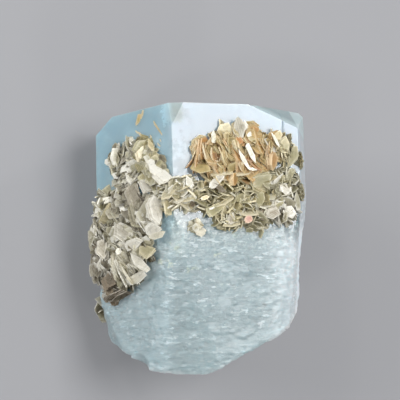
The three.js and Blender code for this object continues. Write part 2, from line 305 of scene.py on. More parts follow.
# %% Faces of the prism
THICKNESS = 54
NEAR_EDGE_X = -13
FRONT_WIDTH = 41.3
LEFT_WIDTH = 36.5
RIGHT_WIDTH = 10.8
TIP_Y = 41.5
BASE_Y = -42.5


def turned(degrees):
    angle = math.radians(degrees)
    return Vector((math.sin(angle), 0, math.cos(angle)))


class Face:
    def __init__(self, origin, out_turn, along_turn):
        self.origin = Vector(origin)
        self.out = turned(out_turn)
        self.along = turned(along_turn)

    def at(self, s, y, out=0.0):
        point = self.origin + self.along * s + self.out * out
        point.y = y
        return point

    def direction(self, lie):
        return (self.along * lie[0] + Vector((0, lie[1], 0)) + self.out * lie[2]).normalized()


FRONT = Face((NEAR_EDGE_X, 0, THICKNESS), 0, 90)
LEFT = Face((NEAR_EDGE_X, 0, THICKNESS), -60, -150)
RIGHT = Face((NEAR_EDGE_X + FRONT_WIDTH, 0, THICKNESS), 60, 150)
LEFT_UNDER = Face(LEFT.at(LEFT_WIDTH, 0), -120, -210)
RIGHT_UNDER = Face(RIGHT.at(RIGHT_WIDTH, 0), 120, 210)
HEART = Vector((0, 0, THICKNESS / 2))


def plane_through(a, b, c):
    normal = (b - a).cross(c - a).normalized()
    if normal.dot(HEART - a) > 0:
        normal = -normal
    return normal, a


PLANES = [(face.out, face.origin) for face in (FRONT, LEFT, RIGHT, LEFT_UNDER, RIGHT_UNDER)]
PLANES += [(Vector((0, 0, -1)), Vector()), (Vector((0, 1, 0)), Vector((0, TIP_Y, 0)))]
PLANES += [
    # the long facet across the front right corner
    plane_through(FRONT.at(24.8, TIP_Y), FRONT.at(FRONT_WIDTH, 34.4), RIGHT.at(RIGHT_WIDTH, 39.8)),
    # the facet across the left corner
    plane_through(LEFT.at(28, TIP_Y), LEFT.at(LEFT_WIDTH, 36.4), LEFT_UNDER.at(9, TIP_Y)),
    # the chipped top of the near edge
    plane_through(FRONT.at(3.8, TIP_Y), FRONT.at(0, 34.3), LEFT.at(1.6, TIP_Y)),
    # small facets on the far corners
    plane_through(LEFT_UNDER.at(17, TIP_Y), LEFT_UNDER.at(25, 37), Vector((-5, TIP_Y, 0))),
    plane_through(RIGHT_UNDER.at(38, TIP_Y), RIGHT_UNDER.at(50, 35.5), Vector((-6, TIP_Y, 0))),
]
PLANES += [
    (Vector(normal).normalized(), Vector(point))
    for normal, point in [
        ((0.03, -0.96, -0.28), (-9, BASE_Y, 49)),  # the lowest part of the base
        ((0.434, -0.888, -0.155), (21.1, -30.2, 51)),  # the base's right side
        ((-0.6, -0.78, -0.1), (-26, -34.2, 31)),  # the base's left side
        ((-0.95, -0.3, 0), (-33, -11.2, 24)),  # the taper of the left corner
        ((0.86, -0.12, 0.5), (28, 11, THICKNESS)),  # the lower part of the right face
        ((0.47, -0.10, 0.88), (28, 11, THICKNESS)),  # the worn edge beside it
        ((0.08, -0.72, -0.68), (5, -26, 0)),  # the base's back
        ((-0.5, -0.114, 0.857), (NEAR_EDGE_X, 7, THICKNESS)),  # the worn near edge
        ((-0.26, -0.075, 0.966), (NEAR_EDGE_X, 7, THICKNESS)),  # its front side
        ((-0.707, -0.075, 0.707), (NEAR_EDGE_X, 7, THICKNESS)),  # its left side
    ]
]
print(len(PLANES), "flats")

# %% [markdown]
# ## The crystal's body
# A crystal is what is left when every flat has cut its part away. So a block is bisected by each
# flat in turn, and each cut is filled. This keeps the edges as sharp as on real beryl.


# %% The crystal's body
def everything(bm):
    return bm.verts[:] + bm.edges[:] + bm.faces[:]


def cut_flat(bm, normal, point):
    cut = bmesh.ops.bisect_plane(
        bm, geom=everything(bm), plane_co=point, plane_no=normal, clear_outer=True
    )
    rim = [part for part in cut["geom_cut"] if isinstance(part, bmesh.types.BMEdge)]
    if rim:
        bmesh.ops.edgeloop_fill(bm, edges=rim)


BLOCK = 220
crystal_bm = bmesh.new()
bmesh.ops.create_cube(crystal_bm, size=BLOCK)
for normal, point in PLANES:
    cut_flat(crystal_bm, normal, point)
print("crystal body:", len(crystal_bm.faces), "flat faces")

# %% [markdown]
# ## The step on the front face
# A low growth step runs up the front face near its right side, and the face beyond it lies half
# a millimetre deeper. Two cuts close together mark the step, and the far part is lowered.

# %% The step on the front face
STEP_X = 22.8
STEP_WIDTH = 0.9
STEP_DROP = 0.5

for place_x in (STEP_X, STEP_X + STEP_WIDTH):
    bmesh.ops.bisect_plane(
        crystal_bm, geom=everything(crystal_bm), plane_co=(place_x, 0, 0), plane_no=(1, 0, 0)
    )
for corner in crystal_bm.verts:
    if corner.co.x > STEP_X + STEP_WIDTH / 2 and corner.co.z > THICKNESS - 0.01:
        corner.co.z -= STEP_DROP
print("step at x", STEP_X)

# %% [markdown]
# ## Slices for the etched half
# The relief needs points to move. Parallel slices give a regular net on every side at once, fine
# along the crystal, where the ledges follow each other closely, and wider around it.

# %% Slices for the etched half
ETCH_TOP = 17.0
ROW = 0.42
COLUMN = 0.75
LAYER = 1.05


def slice_etched(bm, axis, start, stop, pitch):
    normal = Vector((0, 0, 0))
    normal[axis] = 1
    place = start
    while place < stop:
        faces = [face for face in bm.faces if face.calc_center_bounds().y < ETCH_TOP]
        near = [
            face
            for face in faces
            if min(v.co[axis] for v in face.verts) < place < max(v.co[axis] for v in face.verts)
        ]
        edges = {edge for face in near for edge in face.edges}
        corners = {corner for face in near for corner in face.verts}
        bmesh.ops.bisect_plane(
            bm,
            geom=list(corners) + list(edges) + near,
            plane_co=normal * place,
            plane_no=normal,
        )
        place += pitch


bmesh.ops.bisect_plane(
    crystal_bm, geom=everything(crystal_bm), plane_co=(0, ETCH_TOP, 0), plane_no=(0, 1, 0)
)
slice_etched(crystal_bm, 1, BASE_Y + 0.3, ETCH_TOP, ROW)
slice_etched(crystal_bm, 0, -33.0, 34.0, COLUMN)
slice_etched(crystal_bm, 2, 0.7, THICKNESS, LAYER)
print("sliced crystal:", len(crystal_bm.faces), "faces")

# %% [markdown]
# ## Wear
# Etching rounds every edge that it reaches. A few rounds of averaging each point with its
# neighbours do the same, and the flat rest face is left alone.

# %% Wear
ETCH_START_Y = 6
ETCH_FADE = 9
WEAR_ROUNDS = 16


def smooth(value, low, high):
    share = min(1.0, max(0.0, (value - low) / (high - low)))
    return share * share * (3 - 2 * share)


def etched_at(p):
    start = ETCH_START_Y + 3 * math.sin(0.11 * p.x + 0.9) + 0.12 * (THICKNESS - p.z)
    return smooth(start - p.y, 0, ETCH_FADE)


worn = [corner for corner in crystal_bm.verts if etched_at(corner.co) > 0.2 and corner.co.z > 0.5]
for _ in range(WEAR_ROUNDS):
    bmesh.ops.smooth_vert(
        crystal_bm, verts=worn, factor=0.5, use_axis_x=True, use_axis_y=True, use_axis_z=True
    )
crystal_bm.normal_update()
print("worn", len(worn), "points")

# %% [markdown]
# ## Etching
# Hot fluids dissolved the lower half. They left wandering ledges across the crystal, shallow
# scallops between them and small pits, while the base broke with low dimples. Each point moves
# inwards by the sum of these, and noise from a fixed place in space keeps it the same every run.

# %% Etching
ETCH_DEPTH = 0.26
ETCH_SPARE = 0.1
TERRACE = 0.09
BASE_DEPTH = 1.1
LEDGE_PITCH = 3.4


def ledge_at(p):
    wander = 1.5 * math.sin(0.15 * p.x + 0.11 * p.z + 0.5)
    wander += 1.1 * math.sin(0.34 * p.x - 0.23 * p.z + 0.13 * p.y)
    wander += 0.5 * math.sin(0.83 * p.x + 0.37 * p.y + 1.7)
    phase = p.y / LEDGE_PITCH + wander / (2 * math.pi)
    return (phase - math.floor(phase)) ** 1.6


def dimple_at(p):
    return 0.5 + 0.25 * math.sin(0.42 * p.x + 0.21 * p.z) + 0.25 * math.sin(0.5 * p.z - 0.31 * p.x + 1)


def terrace_at(p):
    """Flat treads with steep risers between them, along contour lines of smooth noise."""
    level = 4.2 * noise.fractal(Vector((p.x * 0.045, p.y * 0.16, p.z * 0.045)), 1.0, 2.0, 3)
    return math.floor(level) + smooth(level - math.floor(level), 0.62, 1.0)


def scallop_at(p):
    """Small hollows, stretched across the crystal."""
    wide = noise.fractal(Vector((p.x * 0.17, p.y * 0.36, p.z * 0.17)), 1.0, 2.0, 4)
    fine = noise.noise(Vector((p.x * 0.6, p.y * 1.1, p.z * 0.6)))
    return 0.18 * wide + 0.08 * fine


def pit_at(p):
    distance = noise.voronoi(Vector((p.x * 0.42, p.y * 0.62, p.z * 0.42)))[0][0]
    return 0.35 * smooth(0.42 - distance, 0, 0.3)


moves = []
for corner in crystal_bm.verts:
    etched = etched_at(corner.co)
    if etched <= 0 or corner.co.z < 0.01:
        continue
    base = smooth(-corner.normal.y, 0.5, 0.8)
    patchy = smooth(noise.noise(corner.co * 0.07), -0.25, 0.45)
    relief = ledge_at(corner.co) * (1 - base) * patchy + dimple_at(corner.co) * base
    depth = ETCH_DEPTH * relief - ETCH_SPARE + TERRACE * terrace_at(corner.co)
    depth += scallop_at(corner.co) + pit_at(corner.co) + 0.3
    depth = etched * (max(0.0, depth) + BASE_DEPTH * base)
    moves.append((corner, corner.normal * -depth))
for corner, move in moves:
    corner.co += move
print("etched", len(moves), "points")

# %% [markdown]
# ## Chips
# Beryl breaks in shallow shells. Where a ball overlaps the crystal, the points inside it are
# pushed out to its surface, which leaves the ball's shape as a hollow.

# %% Chips
CHIPS = [
    ((-25.5, -39.5, 41), 6.3),
    ((70.2, -9, 43), 40),
    ((9, -48, 26), 14),
    ((-11, -46.5, 14), 13),
    ((18, -31, 14), 9),
    ((-28, -16, 2), 9),
]
chipped = 0
for middle, radius in CHIPS:
    for corner in crystal_bm.verts:
        away = corner.co - Vector(middle)
        if away.length < radius:
            corner.co = Vector(middle) + away.normalized() * radius
            chipped += 1
lowest_y = cad_box[0].y / MM
for corner in crystal_bm.verts:
    corner.co.y = max(lowest_y, corner.co.y)
    corner.co.z = max(0.0, corner.co.z)
print("chips moved", chipped, "points")

# %% The finished crystal mesh
SHARP_TURN = math.radians(38)

bmesh.ops.triangulate(crystal_bm, faces=[f for f in crystal_bm.faces if len(f.verts) > 4])
bmesh.ops.recalc_face_normals(crystal_bm, faces=crystal_bm.faces)
for face in crystal_bm.faces:
    face.smooth = any(etched_at(corner.co) > 0 for corner in face.verts)
for edge in crystal_bm.edges:
    edge.smooth = len(edge.link_faces) == 2 and edge.calc_face_angle(0) < SHARP_TURN
bmesh.ops.scale(crystal_bm, vec=(MM, MM, MM), verts=crystal_bm.verts)
crystal_mesh = bpy.data.meshes.new("aquamarine")
crystal_bm.to_mesh(crystal_mesh)
crystal_bm.free()
print("crystal mesh:", len(crystal_mesh.polygons), "faces")

# %% [markdown]
# ## Aquamarine
# Clear beryl bends light by 1.57 and takes a little red out of it on the way through, which plain
# volume absorption does. The etched skin and the veils inside scatter light, so a milky shader is
# mixed in there, by where the etching is and by cloudy noise. Smaller masks follow what one specimen
# has of its own: frost below the mica, a bruise near the tip, a pale right side and faint stains.

# %% Aquamarine
BERYL_IOR = 1.57
BERYL_COLOUR = (0.50, 0.82, 0.90, 1)
BERYL_DENSITY = 12.0
MILK_DEPTH = 0.006

aquamarine, beryl = new_material("aquamarine")
place = beryl.places()
split = beryl.node("ShaderNodeSeparateXYZ", None, {0: place})
x, y, z = (Value(beryl, split.outputs[i]) for i in range(3))
wave = beryl.value("ShaderNodeMath", {"operation": "SINE"}, {0: x * 0.11 + 0.9})
start = wave * 3 + (THICKNESS - z) * 0.12 + ETCH_START_Y
etched = beryl.step(start - y, -2.0, ETCH_FADE)
clouds = beryl.grain(place, 0.09, 5.0, 0.6)
streaks = beryl.grain(beryl.stretched(place, (0.28, 1.1, 0.28)), 1.0, 4.0, 0.65)
dashes = beryl.grain(beryl.stretched(place, (0.36, 0.95, 0.36)), 1.0, 3.0, 0.55)
patches = beryl.grain(place, 0.11, 4.0, 0.65)
rough_part = beryl.step(patches, 0.42, 0.62) * (0.3 + beryl.step(y, -38.0, -24.0) * 0.7)
glints = beryl.step(dashes, 0.56, 0.66) * rough_part * etched
rim = beryl.step(x + streaks * 6, 14.0, 32.0) * etched
left_side = beryl.step(x * -1.0, 12.0, 15.5)
milky = etched * (0.5 + streaks * 0.25) + beryl.step(clouds, 0.45, 0.75) * 0.12 + 0.24
gap = beryl.step(patches, 0.46, 0.58) * (1 - beryl.step(x, -10.5, -5.0))
front = beryl.step(z, 50.0, 53.6) * beryl.step(y, 12.0, 22.0) * (1 - left_side) * (1 - gap * 0.45)
corner_band = beryl.step(y + x * 0.43, 46.4, 47.2) * beryl.step(z, 32.0, 46.0)
right_side = beryl.step(x, 28.2, 29.0)
crust = beryl.grain(place, 0.8, 5.0, 0.7)
frost = beryl.step(y, -8.0, 4.0) * (1 - beryl.step(y, 10.0, 15.0)) * beryl.step(crust, 0.47, 0.62)
ragged = (crust - 0.5) * 9
bruise = beryl.step(y + ragged, 34.5, 36.0) * beryl.step(x + ragged * 0.5, -15.5, -14.5)
bruise = bruise * (1 - beryl.step(x + ragged * 0.4, -10.5, -8.5)) * beryl.step(z, 47.0, 50.0)
bright_edge = beryl.step(x, -17.0, -14.5) * (1 - beryl.step(x, -11.0, -8.0))
bright_edge = bright_edge * beryl.step(y, -9.0, 0.0) * (1 - beryl.step(y, 13.0, 17.0))
frost = frost + bright_edge * (0.3 + crust * 0.7)
milky = milky + bruise * 0.3 + left_side * (1 - etched) * 0.28 + glints * 0.3
milky = milky + front * 0.38 + corner_band * 0.3
milky = milky + right_side * (0.3 + etched * 0.5) + frost * 0.3
# white: pale streaks, rough patches and the right rim of the etched skin, and painted glints, white dashes
# that stand in for ledges catching the light
white = beryl.step(streaks, 0.50, 0.75) * 0.15 + rough_part * etched * 0.05 + rim * 0.62 + glints * 0.44
etched_colour = beryl.blend(white, (0.275, 0.34, 0.345, 1), (0.78, 0.82, 0.83, 1))
etched_colour = beryl.blend(left_side * 0.5, etched_colour, (0.40, 0.49, 0.51, 1))
etched_colour = beryl.blend(right_side, etched_colour, (0.70, 0.755, 0.785, 1))
etched_colour = beryl.blend(frost * 0.4, etched_colour, (0.62, 0.67, 0.63, 1))
spots = beryl.grain(place, 0.24, 4.0, 0.6)
stain = beryl.step(spots, 0.60, 0.70) * beryl.step(y, -20.0, -8.0) * (1 - beryl.step(x, 0.0, 10.0)) * etched
etched_colour = beryl.blend(stain * 0.5, etched_colour, (0.62, 0.67, 0.50, 1))
etched_colour = beryl.blend(front, etched_colour, (0.475, 0.545, 0.605, 1))
etched_colour = beryl.blend(corner_band, etched_colour, (0.45, 0.54, 0.54, 1))
etched_colour = beryl.blend(bruise, etched_colour, (0.31, 0.35, 0.335, 1))
milk_colour = beryl.blend(left_side * (1 - etched), etched_colour, (0.42, 0.62, 0.70, 1))
fine = beryl.grain(beryl.stretched(place, (1.1, 1.7, 1.1)), 1.0, 4.0, 0.65)
bump = beryl.node(
    "ShaderNodeBump",
    None,
    {"Strength": 0.58, "Distance": 0.0005, "Height": (fine * 0.6 + dashes) * etched * (0.35 + rough_part)},
)
glass = beryl.node(
    "ShaderNodeBsdfPrincipled",
    None,
    {
        "Base Color": (0.97, 0.99, 1.0, 1),
        "Roughness": etched * 0.16 + 0.015,
        "IOR": BERYL_IOR,
        "Transmission Weight": 1.0,
        "Normal": bump.outputs[0],
    },
)
milk = beryl.node(
    "ShaderNodeBsdfPrincipled",
    None,
    {
        "Base Color": milk_colour,
        "Roughness": 0.4 - glints * 0.16,
        "IOR": BERYL_IOR,
        "Subsurface Weight": 0.8,
        "Subsurface Radius": (0.7, 1.0, 1.1),
        "Subsurface Scale": MILK_DEPTH,
        "Normal": bump.outputs[0],
    },
)
mixed = beryl.node("ShaderNodeMixShader", None, {0: milky, 1: glass.outputs[0], 2: milk.outputs[0]})
inside = beryl.node(
    "ShaderNodeVolumeAbsorption", None, {"Color": BERYL_COLOUR, "Density": BERYL_DENSITY}
)
beryl.show(mixed.outputs[0], inside.outputs[0])
crystal = link("aquamarine_prism", crystal_mesh, aquamarine)
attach(crystal, "root")
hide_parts("aquamarine_crystal")
print("aquamarine has", len(beryl.tree.nodes), "nodes")

# %% [markdown]
# ## Mica books
# Muscovite splits into leaves, so each book is a stack of thin six-sided leaves. No leaf has quite
# the size, turn or tilt of the one below, which gives a book its striped sides. A few different
# books are made once and set in place many times, each with its own scale and turn.


# %% Mica books
def scatter(n):
    wide = math.sin(n * 12.9898 + 4.1414) * 43758.5453
    return wide - math.floor(wide)


LEAF_SIDES = 6
BROKEN = 0.6
CURL = 0.5
SLIDE = 0.09


def add_leaf(bm, outline, height, slide, thickness, tilt, seed):
    """One leaf: a ragged sheet with its book's outline, curled a little and given its thickness."""
    made = bmesh.ops.create_circle(bm, cap_ends=True, segments=LEAF_SIDES, radius=1)
    corners = made["verts"]
    for i, corner in enumerate(corners):
        corner.co *= 0.78 + 0.26 * scatter(outline + i) + 0.06 * (scatter(seed + i) - 0.5)
    corners[int(LEAF_SIDES * scatter(outline + 60))].co *= BROKEN
    faces = list({face for corner in corners for face in corner.link_faces})
    heart = bmesh.ops.poke(bm, faces=faces)
    sheet = corners + heart["verts"]
    curl = CURL * (scatter(outline + 9) - 0.5)
    lines = bm.verts.layers.float["lines"]
    for corner in sheet:
        corner.co.z += curl * corner.co.x**2
        corner[lines] = corner.co.x + 3 * scatter(seed + 31)
    upper = bmesh.ops.extrude_face_region(bm, geom=heart["faces"])
    raised = [part for part in upper["geom"] if isinstance(part, bmesh.types.BMVert)]
    bmesh.ops.translate(bm, vec=(0, 0, thickness), verts=raised)
    lean = Matrix.Rotation(tilt * (scatter(seed + 11) - 0.5), 4, "X")
    lean = Matrix.Rotation(tilt * (scatter(seed + 12) - 0.5), 4, "Y") @ lean
    spin = Matrix.Rotation(0.15 * (scatter(seed + 15) - 0.5), 4, "Z")
    shift = Matrix.Translation(
        (slide + 0.14 * (scatter(seed + 13) - 0.5), 0.14 * (scatter(seed + 14) - 0.5), height)
    )
    bmesh.ops.transform(bm, matrix=shift @ lean @ spin, verts=sheet + raised)
    rim = bm.verts.layers.float["rim"]
    for corner in sheet + raised:
        corner[rim] = 0.0 if len(corner.link_edges) == LEAF_SIDES else 1.0
    tone = bm.faces.layers.float["tone"]
    for face in {face for corner in sheet + raised for face in corner.link_faces}:
        face[tone] = scatter(seed + 21)


def book_mesh(leaves, filled, tilt, seed):
    """A book of radius 1 and height 1 about its middle, with its walls marked as edges."""
    bm = bmesh.new()
    wall = bm.faces.layers.float.new("edge")
    for layer in ("tone", "hue", "shade"):
        bm.faces.layers.float.new(layer)
    bm.verts.layers.float.new("rim")
    bm.verts.layers.float.new("lines")
    for i in range(leaves):
        height = i / leaves - 0.5
        slide = SLIDE * (i - leaves / 2) * (1 if filled < 1 else 0)
        thickness = filled / leaves * (0.7 + 0.6 * scatter(seed + 7 * i + 3))
        add_leaf(bm, seed, height, slide, thickness, tilt, seed + 50 * i)
    bmesh.ops.recalc_face_normals(bm, faces=bm.faces)
    for face in bm.faces:
        face[wall] = 1.0 if len(face.verts) == 4 else 0.0
        face.smooth = len(face.verts) == 3
    for edge in bm.edges:
        edge.smooth = edge.calc_face_angle(0) < SHARP_TURN
    mesh = bpy.data.meshes.new("book")
    bm.to_mesh(mesh)
    bm.free()
    return mesh


# leaves, the share of the height they fill, and how unevenly they lie
BOOK_KINDS = {
    "thick": (6, 0.8, 0.3),
    "plate": (4, 0.6, 0.4),
    "sheaf": (8, 1.0, 0.14),
    "blade": (1, 1.0, 0.0),
}
BOOKS = {
    kind: [book_mesh(leaves, filled, tilt, 400 * n + 97 * leaves) for n in range(8)]
    for kind, (leaves, filled, tilt) in BOOK_KINDS.items()
}
print("a sheaf has", len(BOOKS["sheaf"][0].polygons), "faces")

# %% [markdown]
# ## Sprays
# Mica grows in sprays from one root. Each row gives a spray's face and place, how far it spreads
# and stands out, its big books, the way they face, how much they fan, and its hue from 0, brown,
# through silver, olive, gold and orange, to 1, pink.

# %% Sprays
SPRAYS = [
    # the upper left lobe, large bright books
    (LEFT, 25, 27, 4.2, 2.4, 2, 3.6, (0.5, 0.1, 0.9), 0.5, 0.38),
    (LEFT, 18, 28.2, 4.0, 2.4, 2, 3.4, (0.5, -0.5, 0.6), 0.6, 0.42),
    (LEFT, 12.0, 26.6, 4.4, 3, 2, 4.0, (-0.3, 0.2, 0.9), 0.5, 0.52),
    (LEFT, 7.5, 20.5, 5, 3, 2, 4.6, (-0.5, 0.1, 0.9), 0.4, 0.5),
    (LEFT, 19.6, 21, 5.5, 3, 2, 4.6, (0.1, 0.5, 0.8), 0.5, 0.36),
    # the middle of the left lobe
    (LEFT, 31, 12, 6, 2.4, 3, 3.6, (0.5, 0.4, 0.6), 1, 0.46),
    (LEFT, 22, 11, 6, 3.4, 2, 4, (-0.6, 0.3, 0.5), 0.7, 0.3),
    (LEFT, 11.5, 7.5, 5.5, 4, 2, 4.8, (-0.7, 0.1, 0.7), 0.4, 0.36),
    # the lower left lobe, overlapping scales that hang over the corner
    (LEFT, 33, 2, 6.5, 2.4, 3, 4, (0.4, -0.4, 0.8), 0.7, 0.36),
    (LEFT, 24, 1, 6.5, 3.8, 3, 4.4, (0.1, -0.3, 0.9), 0.5, 0.4),
    (LEFT, 15, -2, 5.5, 2.8, 2, 4, (-0.3, -0.4, 0.8), 0.6, 0.44),
    (LEFT, 22, -9, 6.5, 3.2, 3, 4.6, (0.2, -0.5, 0.8), 0.4, 0.4),
    (LEFT, 32, -8, 6, 2.8, 2, 4, (0.3, -0.2, 0.9), 0.6, 0.22),
    (LEFT, 29, -14.5, 4.5, 1.8, 2, 3, (0.1, -0.6, 0.7), 0.8, 0.08),
    (LEFT_UNDER, 4, 6, 5, 2, 2, 3.4, (0.3, 0.1, 0.9), 0.7, 0.3),
    (LEFT_UNDER, 4, -7, 5, 2, 2, 3.4, (0.2, -0.4, 0.9), 0.7, 0.12),
    # the bridge over the near edge
    (LEFT, 3, 13, 5.5, 2.4, 2, 3.6, (0.3, 0.9, 0.3), 0.9, 0.475),
    (FRONT, 4.5, 13, 5.5, 2.2, 2, 3.4, (-0.3, 0.9, 0.3), 0.9, 0.48),
    # the upper right lobe, golden sheaves on edge
    (FRONT, 10.5, 25, 4.6, 3, 3, 3.6, (0.7, 0.1, 0.6), 0.5, 0.8),
    (FRONT, 17, 28, 5.2, 3.6, 4, 3.8, (0.5, 0.3, 0.7), 0.55, 0.7),
    (FRONT, 24, 29.6, 4.8, 3.8, 4, 3.8, (0.5, 0.1, 0.7), 0.6, 0.74),
    (FRONT, 30, 27.4, 4.8, 3.2, 3, 3.6, (0.6, 0.1, 0.65), 0.6, 0.76),
    (FRONT, 23, 22, 5.2, 3.2, 3, 3.8, (0.6, 0.2, 0.7), 0.55, 0.82),
    (FRONT, 14, 20, 5.0, 2.8, 3, 3.6, (0.4, 0.3, 0.7), 0.6, 0.74),
    (FRONT, 35.5, 27, 4.4, 2.4, 3, 3.8, (0.8, 0.4, 0.4), 0.7, 0.6),
    (RIGHT, 1.4, 24, 2.6, 0.7, 1, 1.6, (0.7, 0.3, 0.6), 0.7, 0.56),
    # the lower right lobe, greenish books at all angles
    (FRONT, 12, 12, 5.5, 2.4, 3, 3.4, (0.2, 0.9, 0.4), 1, 0.56),
    (FRONT, 21, 13, 6, 2.6, 2, 3.6, (0.3, 0.7, 0.6), 1, 0.58),
    (FRONT, 30, 15, 6, 2.6, 2, 3.8, (-0.1, 0.4, 0.9), 0.7, 0.54),
    (FRONT, 17, 6.5, 5, 2.2, 3, 3.2, (0.2, 0.6, 0.7), 1, 0.55),
    (FRONT, 26, 7, 5.5, 2.4, 3, 3.4, (0.3, -0.5, 0.7), 0.9, 0.5),
    (FRONT, 35.6, 17, 4.8, 2.2, 3, 3.6, (0.4, 0.4, 0.7), 0.9, 0.5),
    (FRONT, 34.5, 8.5, 5, 2.4, 3, 3.4, (0.1, -0.4, 0.9), 0.9, 0.3),
    (RIGHT, 1.4, 14, 2.6, 0.7, 1, 1.6, (0.3, 0.2, 0.8), 0.8, 0.5),
]
TUFT = [(LEFT_UNDER, 9, -20, 4.6, 3, 5, 3, (0.3, 0.3, 0.8), 0.9, 0.32)]
FLAKE = [(FRONT, 6.6, 3.0, 2.3, 1.1, 4, 1.6, (0.2, -0.5, 0.7), 0.8, 0.48)]
print(len(SPRAYS), "sprays in the cluster")

# %% [markdown]
# ## The books that stand out
# The larger books give each lobe its own look, so they are placed one by one. Most are placed in
# the picture: the pixel of the middle in a frame of 400 x 400, and the angle from upright.
# The camera's ray through that pixel meets the face, lifted by how far the book stands out, at the
# book's place. Lengths and widths are real sizes, in millimetres.

# %% The books that stand out
FRAME = 400
SENSOR = 36
FOCAL = FRAME * LENS / SENSOR
OUT_SHARE = 0.8


def seen_at(face, u, v, out):
    """The point above a face that the camera sees at a pixel, counted from the upper left."""
    ray = turn @ Vector(((u - FRAME / 2) / FOCAL, (FRAME / 2 - v) / FOCAL, -1))
    lifted = face.at(0, 0, out)
    return camera_at + ray * ((lifted - camera_at).dot(face.out) / ray.dot(face.out))


def seen_book(face, u, v, length, angle, out):
    """The two ends of a book, from its middle and its angle clockwise from upright."""
    middle = seen_at(face, u, v, out)
    slant = math.radians(angle)
    along = seen_at(face, u + math.sin(slant), v - math.cos(slant), out) - middle
    half = along.normalized() * length / 2
    settled = middle - face.out * out * (1 - OUT_SHARE)
    return settled - half, settled + half


def laid_book(face, s1, y1, s2, y2, out):
    """The two ends of a book, from two points of a face in millimetres."""
    return face.at(s1, y1, out * OUT_SHARE), face.at(s2, y2, out * OUT_SHARE)
